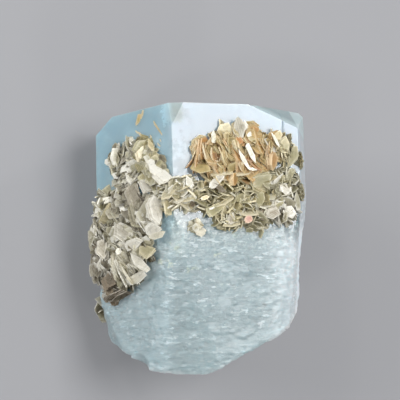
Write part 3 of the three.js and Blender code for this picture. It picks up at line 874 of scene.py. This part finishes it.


# face, the pixel u and v of its middle, length, angle; width, how far it stands out, the way it
# faces, its kind, its hue and its shade. The shade is partly the book's own tone and partly painted
# light: near 1 it is a painted highlight on books that face the light, near 0 painted shade in gaps.
SEEN = [
    # the left lobe and the bridge
    (LEFT, 115.5, 154, 6.7, 8, 3.4, 2.6, "L", "plate", 0.4, 0.88),
    (LEFT, 140.5, 153, 5.3, 0, 4.1, 3.0, "L", "thick", 0.55, 0.92),
    (LEFT, 127, 155, 11.2, 42, 2.2, 2.6, "W", "thick", 0.25, 0.42),
    (LEFT, 130.5, 162, 4.9, 65, 2.1, 3.2, "L", "plate", 0.4, 0.85),
    (LEFT, 137, 169, 10.0, 70, 4.7, 2.2, "S", "plate", 0.47, 0.45),
    (LEFT, 128, 178.5, 5.0, -28, 1.9, 3.4, "L", "plate", 0.4, 0.88),
    (LEFT, 144, 186, 4.3, -20, 4.4, 3.4, "L", "plate", 0.2, 0.72),
    (LEFT, 132.5, 196, 10.8, -28, 5.3, 3.0, "S", "thick", 0.14, 0.36),
    (LEFT, 142, 202, 6.5, -35, 4.6, 2.0, "D", "plate", 0.0, 0.08),
    (LEFT, 151, 228, 7.2, 70, 3.7, 5.0, "L", "plate", 0.3, 0.95),
    (LEFT, 108, 213.5, 7.3, 25, 5.2, 2.4, "L", "plate", 0.6, 0.72),
    (LEFT, 99.5, 203.5, 6.2, 30, 3.7, 1.6, "W", "plate", 0.5, 0.65),
    (LEFT, 123.5, 231, 7.3, -30, 6.4, 3.4, "L", "plate", 0.2, 0.66),
    (LEFT, 130, 245, 9.5, 70, 3.3, 3.8, "L", "plate", 0.32, 0.85),
    (LEFT, 103, 248.5, 7.4, -20, 5.3, 2.6, "S", "plate", 0.18, 0.52),
    (LEFT, 92.5, 244.5, 4.7, -25, 1.8, 1.8, "W", "plate", 0.1, 0.25),
    (LEFT, 117, 251.5, 2.4, 0, 1.9, 4.0, "L", "plate", 0.4, 0.88),
    (LEFT, 115, 269.5, 10.7, -14, 3.5, 3.6, "E", "thick", 0.5, 0.82),
    (LEFT, 120, 272.5, 11.3, -24, 3.0, 3.9, "E", "thick", 0.42, 0.75),
    (LEFT, 125.5, 275, 11.0, -34, 2.7, 4.1, "E", "thick", 0.5, 0.85),
    (LEFT, 136, 262, 10.0, -52, 2.7, 4.2, "L", "plate", 0.36, 0.85),
    (LEFT, 145.5, 251.5, 7.2, -60, 3.9, 3.4, "L", "plate", 0.55, 0.66),
    (LEFT, 134, 278, 9.0, 60, 3.3, 3.8, "L", "plate", 0.34, 0.78),
    (LEFT, 110, 281.5, 6.3, -20, 5.2, 2.4, "S", "thick", 0.0, 0.12),
    (LEFT, 118, 296, 9.4, 60, 4.9, 2.0, "D", "thick", 0.02, 0.24),
    (LEFT, 108, 290.5, 6.2, -40, 2.9, 2.0, "S", "thick", 0.04, 0.34),
    (LEFT, 102, 264.5, 5.9, 10, 3.6, 2.4, "L", "plate", 0.22, 0.66),
    (LEFT, 91.5, 269, 4.6, 10, 3.1, 1.4, "W", "plate", 0.2, 0.55),
    (LEFT, 137, 222.5, 7.9, -25, 0.7, 4.4, "L", "blade", 0.25, 0.95),
    (FRONT, 173.5, 190.5, 8.3, 52, 0.8, 3.4, "U", "blade", 0.55, 0.88),
    (FRONT, 183, 201, 7.2, -50, 0.7, 3.4, "U", "blade", 0.55, 0.84),
    (LEFT, 163.5, 209, 6.1, -8, 1.0, 3.4, "E", "blade", 0.58, 0.82),
    (LEFT, 149, 144.5, 4.7, -30, 1.5, 2.4, "L", "plate", 0.66, 0.85),
    (LEFT, 114.5, 168.5, 8.1, -10, 2.9, 1.2, "S", "plate", 0.45, 0.4),
    (LEFT, 120, 196.5, 7.2, -15, 2.9, 1.4, "S", "plate", 0.45, 0.42),
    # the right lobe
    (FRONT, 202, 146.5, 9.0, 10, 3.4, 3.0, "E", "sheaf", 0.88, 0.56),
    (FRONT, 198, 149, 7.0, 14, 2.1, 2.4, "L", "sheaf", 0.8, 0.66),
    (FRONT, 214.5, 138, 4.6, 0, 1.5, 3.4, "L", "plate", 0.46, 0.74),
    (FRONT, 214.5, 154.5, 5.9, -14, 1.5, 3.4, "E", "sheaf", 0.9, 0.6),
    (FRONT, 226, 131, 5.3, 15, 4.7, 2.2, "L", "plate", 0.56, 0.78),
    (FRONT, 240, 128.5, 7.3, 0, 3.7, 3.8, "S", "thick", 0.24, 0.58),
    (FRONT, 248.5, 129.5, 5.9, -18, 1.5, 4.4, "L", "plate", 0.3, 0.8),
    (FRONT, 239.5, 141, 3.4, 0, 3.1, 4.0, "S", "plate", 0.93, 0.56),
    (FRONT, 236, 153, 8.2, -36, 3.4, 3.6, "E", "sheaf", 0.88, 0.5),
    (FRONT, 244, 158, 6.3, -32, 1.25, 4.8, "L", "plate", 0.46, 0.82),
    (FRONT, 251, 150, 7.2, -26, 1.4, 5.0, "L", "plate", 0.46, 0.82),
    (FRONT, 258.5, 140, 9.2, -20, 3.1, 4.0, "E", "sheaf", 0.8, 0.42),
    (FRONT, 259.5, 132, 6.6, -36, 0.5, 4.2, "L", "blade", 0.6, 0.95),
    (FRONT, 269.5, 144.5, 4.3, -20, 2.4, 3.4, "S", "plate", 0.66, 0.2),
    (FRONT, 276.5, 139.5, 4.6, -30, 1.0, 4.2, "L", "plate", 0.4, 0.76),
    (FRONT, 272.5, 144.5, 5.8, -36, 0.8, 4.0, "L", "blade", 0.45, 0.92),
    (FRONT, 271.5, 160, 6.4, 2, 3.7, 3.6, "E", "sheaf", 0.86, 0.54),
    (FRONT, 278, 134.5, 3.0, 0, 2.9, 3.0, "L", "plate", 0.66, 0.72),
    (FRONT, 285, 146.5, 6.5, 8, 3.5, 2.6, "L", "plate", 0.56, 0.7),
    (FRONT, 293.5, 156.5, 7.7, 14, 2.8, 2.2, "S", "plate", 0.52, 0.5),
    (FRONT, 203, 166.5, 6.5, 80, 4.4, 3.2, "U", "plate", 0.68, 0.52),
    (FRONT, 226, 156.5, 6.1, -10, 2.1, 3.6, "E", "sheaf", 0.8, 0.4),
    (FRONT, 233, 166.5, 4.5, 75, 2.5, 3.6, "M", "plate", 0.66, 0.45),
    (FRONT, 224.5, 171.5, 7.7, 86, 0.8, 4.4, "U", "blade", 0.6, 0.9),
    (FRONT, 244.5, 170.5, 7.8, 84, 0.9, 4.4, "U", "blade", 0.58, 0.92),
    (FRONT, 254, 168.5, 2.7, 92, 0.9, 4.8, "L", "plate", 0.45, 0.9),
    (FRONT, 216.5, 181, 7.7, 46, 2.2, 3.4, "L", "plate", 0.14, 0.62),
    (FRONT, 232, 179.5, 4.3, 0, 3.4, 3.0, "M", "sheaf", 0.84, 0.52),
    (FRONT, 219, 187, 5.2, -62, 1.6, 3.2, "M", "plate", 0.08, 0.4),
    (FRONT, 261.5, 180, 6.4, 80, 5.3, 3.0, "S", "plate", 0.53, 0.52),
    (FRONT, 279.5, 179, 4.5, 38, 0.6, 3.8, "L", "blade", 0.4, 1.0),
    (FRONT, 272.5, 179, 4.8, -32, 0.5, 3.6, "L", "blade", 0.45, 0.85),
    (FRONT, 286.5, 189, 4.7, -50, 2.9, 2.8, "L", "plate", 0.22, 0.66),
    (FRONT, 289.5, 211, 4.4, -55, 3.5, 2.6, "L", "plate", 0.25, 0.7),
    (FRONT, 274.5, 212, 5.5, 60, 3.1, 2.8, "S", "plate", 0.12, 0.55),
    (FRONT, 249, 219.5, 2.8, 10, 2.4, 3.4, "L", "plate", 1.0, 0.62),
    (FRONT, 252, 211, 7.7, 86, 0.6, 3.6, "U", "blade", 0.55, 0.84),
    (FRONT, 275, 202.5, 7.0, 72, 0.6, 3.4, "U", "blade", 0.5, 0.84),
    (FRONT, 249.5, 193.5, 7.5, 2, 0.6, 3.4, "E", "blade", 0.55, 0.84),
    (FRONT, 224.5, 200, 7.7, 66, 0.6, 3.2, "U", "blade", 0.56, 0.86),
    (FRONT, 215, 209.5, 7.7, 60, 2.8, 2.6, "S", "plate", 0.55, 0.46),
    (FRONT, 226, 213, 5.7, 14, 0.5, 3.4, "E", "blade", 0.58, 0.9),
    (FRONT, 235.5, 214, 5.4, -30, 0.5, 3.4, "E", "blade", 0.58, 0.9),
    (FRONT, 231.5, 223, 5.6, 86, 0.6, 3.2, "U", "blade", 0.6, 0.86),
    (FRONT, 232, 218.5, 3.5, 10, 2.5, 2.8, "L", "plate", 0.12, 0.5),
    (FRONT, 193, 203.5, 1.7, 0, 1.5, 2.6, "D", "plate", 0.0, 0.12),
    (FRONT, 263.5, 215, 3.1, -10, 2.3, 2.4, "D", "plate", 0.02, 0.22),
    (FRONT, 212.5, 208, 1.7, 70, 0.6, 3.6, "L", "plate", 0.4, 0.88),
    (FRONT, 205, 197.5, 3.2, 75, 1.2, 3.2, "L", "plate", 0.72, 0.8),
    (FRONT, 189, 181.5, 3.6, -40, 2.2, 3.0, "L", "plate", 0.26, 0.68),
    (FRONT, 185.5, 186, 5.5, 60, 0.6, 3.2, "U", "blade", 0.58, 0.86),
    (FRONT, 185.5, 198, 5.8, 80, 0.6, 3.0, "U", "blade", 0.58, 0.84),
    (FRONT, 243, 199, 3.5, 0, 4.6, 2.4, "M", "plate", 0.55, 0.34),
    (FRONT, 259.5, 199, 4.6, 10, 3.7, 2.6, "S", "plate", 0.54, 0.5),
    (FRONT, 291, 173, 6.1, 20, 1.8, 2.2, "S", "plate", 0.5, 0.5),
]
# Books set on a face in millimetres: a seed, the face, the book's two ends, and then as above
LAID = [
    (6, LEFT, -1.2, 15.6, 5.0, 20.6, 3.8, 3.2, "L", "thick", 0.46, 0.95),
    (7, LEFT, 1.8, 17.6, 7.4, 24.2, 3.4, 3.6, "L", "plate", 0.42, 0.97),
    (8, LEFT, 5.6, 21.8, 9.8, 27.0, 2.8, 3.3, "U", "plate", 0.48, 0.92),
    (12, LEFT, 3.2, 3.2, 6.2, 12.8, 4.6, 4.4, "L", "thick", 0.2, 0.74),
    (14, LEFT, 7.6, 0.2, 0.6, 1.2, 2.6, 4.6, "L", "plate", 0.5, 0.85),
    (95, FRONT, 39.9, 8.0, 38.7, 13.8, 2.8, 1.6, "R", "plate", 0.42, 0.7),
]
print(len(SEEN) + len(LAID), "books stand out")

# %% [markdown]
# ## Setting the books
# Each spray has a few big books on the lobe that the solids have there. Smaller ones fill the gaps,
# as they do on the specimen, and a rough lump holds the roots of each spray in the crystal.


# %% Setting the books
WAYS = {
    "L": (0.05, 0.05, 1),
    "M": (0.1, -0.5, 0.86),
    "U": (0.1, 0.55, 0.8),
    "W": (-0.75, 0, 0.65),
    "E": (0.7, 0, 0.7),
    "F": (-0.866, 0, 0.5),
    "S": (-0.4, -0.3, 0.85),
    "D": (0.2, -0.8, 0.55),
    "R": (0.45, 0.3, 0.84),
}
WAYS = {name: Vector(way).normalized() for name, way in WAYS.items()}
BOOK_HEIGHTS = {"thick": 0.22, "plate": 0.12, "sheaf": 0.5, "blade": 0.09}
EDGE_LEAN = 0.8
BLADE_SHARE = 0.5
GOLDEN_ANGLE = 2.39996
LEAF_SHARE = 0.3
BED_DEPTH = 4.5
BED_RISE = 0.35
FILL_KINDS = ("plate", "thick", "blade", "thick", "plate")
STANDING_KINDS = ("blade", "blade", "plate")
GOLDEN_KINDS = ("plate", "sheaf", "blade", "plate", "blade")
STANDING_FAN = 0.85
GOLDEN_HUE = 0.65


def upright(middle, normal, size, height, spin):
    """A matrix that sets a book of radius 1 and height 1 on a normal."""
    facing = normal.to_track_quat("Z", "X").to_matrix().to_4x4()
    scale = Matrix.Diagonal((size, size, height, 1))
    return Matrix.Translation(middle) @ facing @ Matrix.Rotation(spin, 4, "Z") @ scale


class Mica:
    """One mica piece: its mesh, and the hue and shade of each face."""

    def __init__(self, name):
        self.name = name
        self.bm = bmesh.new()
        self.edge = self.bm.faces.layers.float.new("edge")
        self.tone = self.bm.faces.layers.float.new("tone")
        self.rim = self.bm.verts.layers.float.new("rim")
        self.lines = self.bm.verts.layers.float.new("lines")
        self.hue = self.bm.faces.layers.float.new("hue")
        self.shade = self.bm.faces.layers.float.new("shade")
        self.books = 0

    def place(self, kind, seed, matrix, hue, shade):
        """Sets one book by its matrix, which holds its place, turn and size."""
        books = BOOKS[kind]
        book = books[int(scatter(seed + 0.5) * len(books)) % len(books)].copy()
        book.transform(matrix)
        faces = len(book.polygons)
        book.attributes["hue"].data.foreach_set("value", [hue] * faces)
        book.attributes["shade"].data.foreach_set("value", [shade] * faces)
        self.bm.from_mesh(book)
        bpy.data.meshes.remove(book)
        self.books += 1

    def plate(self, face, ends, width, way, kind, hue, shade, seed):
        """A book along the line between its two ends.

        Plates and thick books face one of the named ways. Sheaves and blades stand on edge, so
        that the camera sees their leaves from the side, and their width is what it sees.
        """
        low, high = ends
        length = (high - low).length
        up = (high - low).normalized()
        middle = (low + high) / 2
        toward = camera_at.normalized()
        normal = (WAYS[way] - WAYS[way].dot(up) * up).normalized()
        thickness = BOOK_HEIGHTS[kind] * width
        if kind in ("sheaf", "blade"):
            side = up.cross(toward).normalized()
            if side.dot(WAYS[way]) < 0:
                side = -side
            normal = (side + toward * EDGE_LEAN).normalized()
            normal = (normal - normal.dot(up) * up).normalized()
            thickness = width if kind == "sheaf" else width * BLADE_SHARE
            width = max(2.4, length * 0.55)
            middle -= face.out * width * 0.35
        across = up.cross(normal)
        basis = Matrix((across, up, normal)).transposed().to_4x4()
        size = Matrix.Diagonal((width * 0.58, length * 0.58, thickness, 1))
        spin = Matrix.Rotation(math.radians(30 * (seed % 2)), 4, "Z")
        self.place(kind, seed, Matrix.Translation(middle) @ basis @ size @ spin, hue, shade)

    def bed(self, spray, i):
        face, s, y, reach, rise, _, _, _, _, hue = spray
        made = bmesh.ops.create_icosphere(self.bm, subdivisions=2, radius=1)
        for corner in made["verts"]:
            p = corner.co.copy()
            lump = 1 + 0.3 * noise.noise(p * 2.3 + Vector((i, 0, 0)))
            p *= lump
            depth = BED_RISE * rise if p.z > 0 else BED_DEPTH
            corner.co = face.at(s + p.x * reach, y + p.y * reach, p.z * depth)
        for part in {f for corner in made["verts"] for f in corner.link_faces}:
            part[self.hue] = hue
            part[self.shade] = 0.5

    def spray(self, spray, i, paler=0.0):
        face, s, y, reach, rise, books, leaf, lie, fan, hue = spray
        for k in range(books):
            seed = 17 * i + 131 * k
            turn = k * GOLDEN_ANGLE + i
            spread = 0.8 * reach * math.sqrt((k + 0.5) / books)
            crown = rise * (1 - 0.45 * (spread / reach) ** 2)
            size = leaf * (0.8 + 0.45 * scatter(seed))
            ways = (
                lie[0] + fan * (scatter(seed + 1) - 0.5) * 2,
                lie[1] + fan * (scatter(seed + 2) - 0.5) * 2,
                lie[2] + fan * (scatter(seed + 3) - 0.5),
            )
            normal = face.direction(ways)
            standing = math.sqrt(1 - min(1.0, normal.dot(face.out) ** 2))
            middle = face.at(s + spread * math.cos(turn), y + spread * math.sin(turn))
            middle += face.out * (crown - 0.75 * size * standing)
            shade = paler + 0.35 + 0.35 * scatter(seed + 6)
            tint = hue + 0.1 * (scatter(seed + 8) - 0.5)
            matrix = upright(middle, normal, size, size * LEAF_SHARE, math.tau * scatter(seed + 5))
            self.place("thick", seed, matrix, tint, shade)

    def fill(self, spray, i, count):
        """Small books between the big ones."""
        face, s, y, reach, rise, _, leaf, lie, fan, hue = spray
        for k in range(count):
            seed = 977 + 29 * i + 211 * k
            turn = k * GOLDEN_ANGLE + 2.1 * i
            spread = 1.05 * reach * math.sqrt((k + 0.5) / count)
            crown = rise * (0.95 - 0.5 * (spread / reach) ** 2)
            stands = fan > STANDING_FAN
            size = leaf * (0.26 + 0.36 * scatter(seed)) * (1.35 if stands else 1)
            spin = math.tau * scatter(seed + 5)
            across, along = 0.75 + 0.25 * scatter(seed + 10), 1.0
            if hue > GOLDEN_HUE:
                size *= 1.15
                spin = 0.7 * (scatter(seed + 5) - 0.5)
                across, along = 0.9, 1.4
            loose = 0.15 + 0.85 * fan
            flat = lie[2] * (0.4 if stands else 1)
            ways = (
                lie[0] + loose * (scatter(seed + 1) - 0.5) * 2,
                lie[1] + loose * (scatter(seed + 2) - 0.5) * 2,
                flat + loose * (scatter(seed + 3) - 0.5),
            )
            normal = face.direction(ways)
            standing = math.sqrt(1 - min(1.0, normal.dot(face.out) ** 2))
            middle = face.at(s + spread * math.cos(turn), y + spread * math.sin(turn))
            middle += face.out * (crown - 0.6 * size * standing)
            shade = 0.06 + 1.1 * scatter(seed + 6) ** 1.6
            if hue > GOLDEN_HUE:
                shade = 0.2 + 0.75 * scatter(seed + 6) ** 1.3
            elif hue > 0.465:
                least = 0.58 if hue < 0.49 else 0.24
                shade = least + 0.42 * scatter(seed + 6) ** 1.4
            # painted shade: outside the golden and pale sprays, books below y = -6 are darker
            elif y < -6:
                shade *= 0.75
            tint = hue + (0.3 if hue > GOLDEN_HUE else 0.16) * (scatter(seed + 8) - 0.5)
            kinds = STANDING_KINDS if stands else GOLDEN_KINDS if hue > GOLDEN_HUE else FILL_KINDS
            kind = kinds[int(scatter(seed + 9) * len(kinds))]
            height = BOOK_HEIGHTS[kind] * (1 if kind == "sheaf" else 2) * size
            matrix = upright(middle, normal, size, height, spin)
            matrix = matrix @ Matrix.Diagonal((across, along, 1, 1))
            self.place(kind, seed, matrix, tint, shade)

    def finish(self, material, node):
        low, high = (corner / MM for corner in cad_box)
        for corner in self.bm.verts:
            corner.co = Vector(max(l, min(h, c)) for l, h, c in zip(low, high, corner.co))
        bmesh.ops.scale(self.bm, vec=(MM, MM, MM), verts=self.bm.verts)
        mesh = bpy.data.meshes.new(self.name)
        self.bm.to_mesh(mesh)
        self.bm.free()
        piece = link(self.name, mesh, material)
        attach(piece, "root")
        if node:
            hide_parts(node)
        print(self.name, "has", self.books, "books and", len(mesh.polygons), "faces")
        return piece


# %% [markdown]
# ## Muscovite
# Mica shines like pearl: its leaves reflect a little like metal, and a thin edge catches the
# light. The hue of each book picks its colour on a ramp, and its shade runs that colour from dark to
# white, so the shade carries painted highlight and painted shade besides the book's own tone. The
# marked edges and the rims of the leaves are painted paler, a painted highlight for the edge that
# catches the light. Fine lines run along each leaf, the leaves are partly clear, and some light
# shines through them.

# %% Muscovite
GLOW_SHARE = 0.3
CLEAR_SHARE = 0.5
muscovite, pearl = new_material("muscovite")
place = pearl.places()


def of_leaf(name):
    return pearl.value("ShaderNodeAttribute", {"attribute_name": name}, None, "Fac")


hue, shade, edge, tone, rim = (of_leaf(name) for name in ("hue", "shade", "edge", "tone", "rim"))
lines = pearl.value(
    "ShaderNodeTexNoise",
    {"noise_dimensions": "1D"},
    {"W": of_leaf("lines"), "Scale": 7.0, "Detail": 4.0, "Roughness": 0.7},
)
mottle = pearl.grain(place, 0.6, 5.0, 0.65)
HUES = [
    (0.0, (0.27, 0.195, 0.115)),
    (0.12, (0.43, 0.375, 0.27)),
    (0.25, (0.55, 0.50, 0.385)),
    (0.4, (0.60, 0.55, 0.37)),
    (0.48, (0.60, 0.56, 0.38)),
    (0.56, (0.46, 0.41, 0.21)),
    (0.7, (0.78, 0.64, 0.32)),
    (0.82, (0.82, 0.58, 0.27)),
    (0.93, (0.72, 0.36, 0.11)),
    (1.0, (0.68, 0.34, 0.30)),
]
DARK = (0.11, 0.085, 0.045, 1)
TAN = (0.24, 0.19, 0.09, 1)
WHITE = (0.96, 0.93, 0.84, 1)
CREAM = (0.90, 0.82, 0.60, 1)
tinted = hue + (mottle - 0.5) * 0.2
colour = pearl.node("ShaderNodeValToRGB", {"stops": HUES}, {"Fac": tinted}).outputs[0]
border = rim ** 4.0
golden = pearl.step(hue, 0.45, 0.58)
# light: the book's shade (its tone with painted highlight and painted shade), random tone, a painted
# highlight at the leaf rims, mottle and fine lines
light = shade + (tone - 0.5) * 0.24 + (border - 0.3) * 0.22 + (mottle - 0.5) * 0.4
light = light + (lines - 0.5) * (0.7 - golden * 0.3)
bright = pearl.blend(golden, WHITE, CREAM)
shaded = pearl.blend(light * 2, pearl.blend(golden, DARK, TAN), colour)
toned = pearl.blend(light * 2 - 1, shaded, bright)
# sheet: the leaf walls are painted paler, a painted highlight on the edges
sheet = pearl.blend(edge * 0.3, toned, bright)
clear = CLEAR_SHARE * (0.5 + golden * 0.8)
scratch = pearl.grain(place, 2.2, 4.0, 0.65)
mica_bump = pearl.node(
    "ShaderNodeBump", None, {"Strength": 0.5, "Distance": 0.0003, "Height": scratch}
)
leaf_shader = pearl.node(
    "ShaderNodeBsdfPrincipled",
    None,
    {
        "Base Color": sheet,
        "Metallic": 0.2,
        "Roughness": 0.14 + mottle * 0.3,
        "IOR": 1.6,
        "Alpha": 1 - (1 - edge * 0.7) * (1 - border * 0.6) * (1.3 - shade) * clear,
        "Normal": mica_bump.outputs[0],
    },
)
glow = pearl.node("ShaderNodeBsdfTranslucent", None, {"Color": sheet})
leaf_mix = pearl.node(
    "ShaderNodeMixShader", None, {0: GLOW_SHARE, 1: leaf_shader.outputs[0], 2: glow.outputs[0]}
)
pearl.show(leaf_mix.outputs[0])
print("muscovite has", len(pearl.tree.nodes), "nodes")

# %% The mica pieces
cluster = Mica("mica_cluster")
for i, spray in enumerate(SPRAYS):
    cluster.bed(spray, i)
    cluster.spray(spray, i)
    cluster.fill(spray, i, 30 if spray[-1] > GOLDEN_HUE else 42)
laid_seeds = [row[0] for row in LAID]
seen_seeds = [n for n in range(len(SEEN) + len(LAID)) if n not in laid_seeds]
for n, (face, u, v, length, angle, width, out, way, kind, tint, tone_of_book) in zip(seen_seeds, SEEN):
    ends = seen_book(face, u, v, length, angle, out)
    cluster.plate(face, ends, width, way, kind, tint, tone_of_book, n)
for n, face, s1, y1, s2, y2, width, out, way, kind, tint, tone_of_book in LAID:
    ends = laid_book(face, s1, y1, s2, y2, out)
    cluster.plate(face, ends, width, way, kind, tint, tone_of_book, n)
cluster.finish(muscovite, "muscovite_cluster")

tuft = Mica("mica_tuft")
tuft.bed(TUFT[0], 60)
tuft.spray(TUFT[0], 60, 0.15)
tuft.fill(TUFT[0], 60, 8)
tuft.finish(muscovite, "muscovite_tuft")

flake = Mica("mica_flake")
flake.bed(FLAKE[0], 80)
flake.spray(FLAKE[0], 80, 0.3)
flake.fill(FLAKE[0], 80, 12)
flake.finish(muscovite, "muscovite_flake")

# %% [markdown]
# ## Golden flakes
# A few thin stained flakes lie in the skin of the glassy left face, above the mica. They are
# single leaves, laid flat on the face.

# %% Golden flakes
FLAKE_LIFT = 0.02
# the two ends of each on the left face, its width, its hue and its shade
FLAKES = [
    (15.6, 37.2, 14.4, 41.0, 1.7, 0.72, 0.66),
    (14.2, 38.4, 12.9, 41.1, 1.3, 0.7, 0.76),
    (16.4, 36.8, 15.2, 39.2, 1.0, 0.71, 0.7),
    (8.4, 37.0, 4.4, 31.9, 0.7, 0.71, 0.6),
    (8.6, 36.6, 5.0, 32.8, 0.3, 0.72, 0.9),
    (16.2, 34.8, 12.8, 32.4, 0.8, 0.7, 0.72),
    (17.0, 35.4, 15.6, 34.0, 0.5, 0.72, 0.85),
    (12.0, 32.8, 10.8, 31.0, 0.9, 0.66, 0.85),
    (9.8, 32.6, 8.8, 30.0, 0.6, 0.66, 0.85),
    (6.6, 29.6, 5.4, 28.4, 0.5, 0.66, 0.85),
    (5.6, 31.0, 5.0, 29.8, 0.4, 0.66, 0.85),
    (7.6, 27.8, 6.2, 27.0, 0.5, 0.66, 0.8),
    (20.5, 33.6, 19.4, 33.0, 0.6, 0.68, 0.8),
    (21.6, 31.8, 20.8, 31.0, 0.5, 0.68, 0.8),
]
stains = Mica("mica_flakes")
for n, (s1, y1, s2, y2, width, tint, tone_of_flake) in enumerate(FLAKES):
    ends = laid_book(LEFT, s1, y1, s2, y2, FLAKE_LIFT)
    stains.plate(LEFT, ends, width, "F", "plate", tint, tone_of_flake, n)
stains.finish(muscovite, None)
